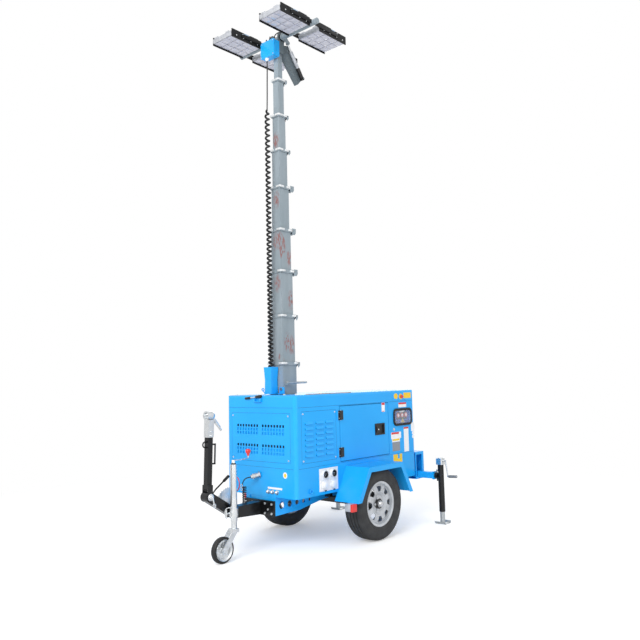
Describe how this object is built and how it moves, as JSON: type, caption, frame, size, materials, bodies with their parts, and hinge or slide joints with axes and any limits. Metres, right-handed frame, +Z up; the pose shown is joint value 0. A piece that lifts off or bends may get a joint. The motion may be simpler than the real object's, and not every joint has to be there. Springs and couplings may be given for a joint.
{
  "type": "mobile light tower",
  "caption": "Towed light tower: generator canopy on a single-axle trailer, telescopic mast, tilting floodlights, stabilisers and folding drawbar.",
  "frame": {"origin": "on the ground, at the middle of the whole length and width", "axes": "+X forward to the drawbar, +Y to the left side with the control window, +Z up along the mast"},
  "size_m": [2.4156, 1.681, 4.595],
  "materials": {
    "blue_paint": "gloss powder coat",
    "mast_paint": "satin grey paint with rubbed marks",
    "black_paint": "satin powder coat",
    "zinc": "zinc plated",
    "silver_paint": "silver lacquer",
    "tyre": "matt rubber",
    "black_rubber": "matt",
    "black_plastic": "moulded",
    "white_plastic": "moulded",
    "panel_blue": "satin",
    "window": "clear",
    "lens": "moulded lens array",
    "lamp_black": "black anodised",
    "marker_red": "moulded",
    "engine": "painted"
  },
  "bodies": {
    "trailer": {"chassis": "blue_paint", "axle": "black_paint", "base_box": "blue_paint", "canopy": "blue_paint", "roof_cap": "blue_paint", "front_panel": "blue_paint", "louvre_panels": "blue_paint", "control_frame": "black_rubber", "control_panel": "panel_blue", "control_glass": "window", "socket_panel": "white_plastic", "engine_block": "engine", "fender_left": "blue_paint", "fender_right": "blue_paint", "marker_lamps": "marker_red", "rear_frame": "blue_paint", "drawbar_beam": "black_paint", "drawbar_fittings": "zinc", "jockey_tube": "zinc", "jockey_crank": "zinc"},
    "drawbar_arm": {"drawbar_arm": "black_paint", "coupling_head": "zinc"},
    "jockey_leg": {"jockey_stem": "zinc"},
    "jockey_fork": {"jockey_fork": "zinc"},
    "jockey_wheel": {"jockey_wheel": "black_rubber"},
    "door_left": {"door_left": "blue_paint", "door_fittings_left": "black_plastic"},
    "door_right": {"door_right": "blue_paint", "door_fittings_right": "black_plastic"},
    "wheel_left": {"tyre_left": "tyre", "rim_left": "silver_paint"},
    "wheel_right": {"tyre_right": "tyre", "rim_right": "silver_paint"},
    "outrigger_left": {"outrigger_left": "blue_paint"},
    "leg_left": {"leg_left": "black_paint", "leg_head_left": "zinc"},
    "foot_left": {"foot_left": "zinc"},
    "outrigger_right": {"outrigger_right": "blue_paint"},
    "leg_right": {"leg_right": "black_paint", "leg_head_right": "zinc"},
    "foot_right": {"foot_right": "zinc"},
    "mast_base": {"mast_base": "mast_paint", "cable_chute": "blue_paint", "cable_coil": "black_rubber"},
    "mast_tube_2": {"mast_tube_2": "mast_paint"},
    "mast_tube_3": {"mast_tube_3": "mast_paint"},
    "mast_tube_4": {"mast_tube_4": "mast_paint"},
    "mast_tube_5": {"mast_tube_5": "mast_paint"},
    "mast_tube_6": {"mast_tube_6": "mast_paint"},
    "mast_tube_7": {"mast_tube_7": "mast_paint"},
    "mast_tube_8": {"mast_tube_8": "mast_paint"},
    "mast_tube_9": {"mast_tube_9": "mast_paint", "junction_box": "blue_paint", "mast_head": "mast_paint", "cable_lead": "black_rubber"},
    "lamp_bar": {"lamp_bar": "mast_paint", "lamp_housings": "lamp_black", "lamp_lenses": "lens"},
    "actuator_body": {"actuator_body": "black_paint"},
    "actuator_rod": {"actuator_rod": "zinc"}
  },
  "joints": [
    {"name": "drawbar_fold", "type": "hinge", "parent": "trailer", "child": "drawbar_arm", "pos_m": [1.15925, 0, 0.505], "axis": [0, 1, 0], "range_deg": [0, 90]},
    {"name": "jockey_extend", "type": "slide", "parent": "trailer", "child": "jockey_leg", "axis": [0, 0, -1], "range_m": [-0.04, 0.18]},
    {"name": "jockey_swivel", "type": "hinge", "parent": "jockey_leg", "child": "jockey_fork", "pos_m": [0.95725, 0.075, 0.245], "axis": [0, 0, 1], "continuous": true},
    {"name": "jockey_roll", "type": "hinge", "parent": "jockey_fork", "child": "jockey_wheel", "pos_m": [1.07525, 0.075, 0.1], "axis": [0, 1, 0], "continuous": true},
    {"name": "door_left_swing", "type": "hinge", "parent": "trailer", "child": "door_left", "pos_m": [0.04925, 0.4283, 0.921], "axis": [0, 0, -1], "range_deg": [0, 110]},
    {"name": "door_right_swing", "type": "hinge", "parent": "trailer", "child": "door_right", "pos_m": [0.04925, -0.4283, 0.921], "axis": [0, 0, 1], "range_deg": [0, 110]},
    {"name": "wheel_left_roll", "type": "hinge", "parent": "trailer", "child": "wheel_left", "pos_m": [-0.23775, 0.5375, 0.3075], "axis": [0, 1, 0], "continuous": true},
    {"name": "wheel_right_roll", "type": "hinge", "parent": "trailer", "child": "wheel_right", "pos_m": [-0.23775, -0.5375, 0.3075], "axis": [0, 1, 0], "continuous": true},
    {"name": "outrigger_left_extend", "type": "slide", "parent": "trailer", "child": "outrigger_left", "axis": [0, 1, 0], "range_m": [0, 0.18]},
    {"name": "leg_left_swing", "type": "hinge", "parent": "outrigger_left", "child": "leg_left", "pos_m": [-1.13775, 0.612, 0.445], "axis": [0, 1, 0], "range_deg": [0, 90]},
    {"name": "leg_left_jack", "type": "slide", "parent": "leg_left", "child": "foot_left", "axis": [0, 0, -1], "range_m": [-0.1, 0.2]},
    {"name": "outrigger_right_extend", "type": "slide", "parent": "trailer", "child": "outrigger_right", "axis": [0, -1, 0], "range_m": [0, 0.18]},
    {"name": "leg_right_swing", "type": "hinge", "parent": "outrigger_right", "child": "leg_right", "pos_m": [-1.13775, -0.612, 0.445], "axis": [0, 1, 0], "range_deg": [0, 90]},
    {"name": "leg_right_jack", "type": "slide", "parent": "leg_right", "child": "foot_right", "axis": [0, 0, -1], "range_m": [-0.1, 0.2]},
    {"name": "mast_turn", "type": "hinge", "parent": "trailer", "child": "mast_base", "pos_m": [0.31225, 0, 0.48], "axis": [0, 0, 1], "range_deg": [-175, 175]},
    {"name": "mast_raise", "type": "slide", "parent": "mast_base", "child": "mast_tube_2", "axis": [0, 0, 1], "range_m": [-0.355, 0.42], "deforming": ["cable_coil"]},
    {"name": "mast_stage_3", "type": "slide", "parent": "mast_tube_2", "child": "mast_tube_3", "axis": [0, 0, 1], "range_m": [-0.338, 0.3997]},
    {"name": "mast_stage_4", "type": "slide", "parent": "mast_tube_3", "child": "mast_tube_4", "axis": [0, 0, 1], "range_m": [-0.313, 0.3701]},
    {"name": "mast_stage_5", "type": "slide", "parent": "mast_tube_4", "child": "mast_tube_5", "axis": [0, 0, 1], "range_m": [-0.333, 0.3938]},
    {"name": "mast_stage_6", "type": "slide", "parent": "mast_tube_5", "child": "mast_tube_6", "axis": [0, 0, 1], "range_m": [-0.284, 0.3358]},
    {"name": "mast_stage_7", "type": "slide", "parent": "mast_tube_6", "child": "mast_tube_7", "axis": [0, 0, 1], "range_m": [-0.267, 0.3157]},
    {"name": "mast_stage_8", "type": "slide", "parent": "mast_tube_7", "child": "mast_tube_8", "axis": [0, 0, 1], "range_m": [-0.278, 0.3287]},
    {"name": "mast_stage_9", "type": "slide", "parent": "mast_tube_8", "child": "mast_tube_9", "axis": [0, 0, 1], "range_m": [-0.171, 0.2021]},
    {"name": "lamp_tilt", "type": "hinge", "parent": "mast_tube_9", "child": "lamp_bar", "pos_m": [0.31225, 0, 4.545], "axis": [0, 1, 0], "range_deg": [0, 85]},
    {"name": "actuator_swing", "type": "hinge", "parent": "mast_tube_9", "child": "actuator_body", "pos_m": [0.05425, 0.062, 4.227], "axis": [0, 1, 0], "range_deg": [-4.93, 0.3]},
    {"name": "actuator_push", "type": "slide", "parent": "actuator_body", "child": "actuator_rod", "axis": [0.5628, 0, 0.8266], "range_m": [-0.001, 0.0977]}
  ],
  "couplings": [
    {"joint": "mast_stage_3", "follows": "mast_raise", "ratio": 0.9493},
    {"joint": "mast_stage_4", "follows": "mast_raise", "ratio": 0.8789},
    {"joint": "mast_stage_5", "follows": "mast_raise", "ratio": 0.9352},
    {"joint": "mast_stage_6", "follows": "mast_raise", "ratio": 0.7972},
    {"joint": "mast_stage_7", "follows": "mast_raise", "ratio": 0.7493},
    {"joint": "mast_stage_8", "follows": "mast_raise", "ratio": 0.7803},
    {"joint": "mast_stage_9", "follows": "mast_raise", "ratio": 0.4789},
    {"joint": "actuator_swing", "follows": "lamp_tilt", "ratio": -0.05447},
    {"joint": "actuator_push", "follows": "lamp_tilt", "m_per_rad": 0.06516}
  ]
}
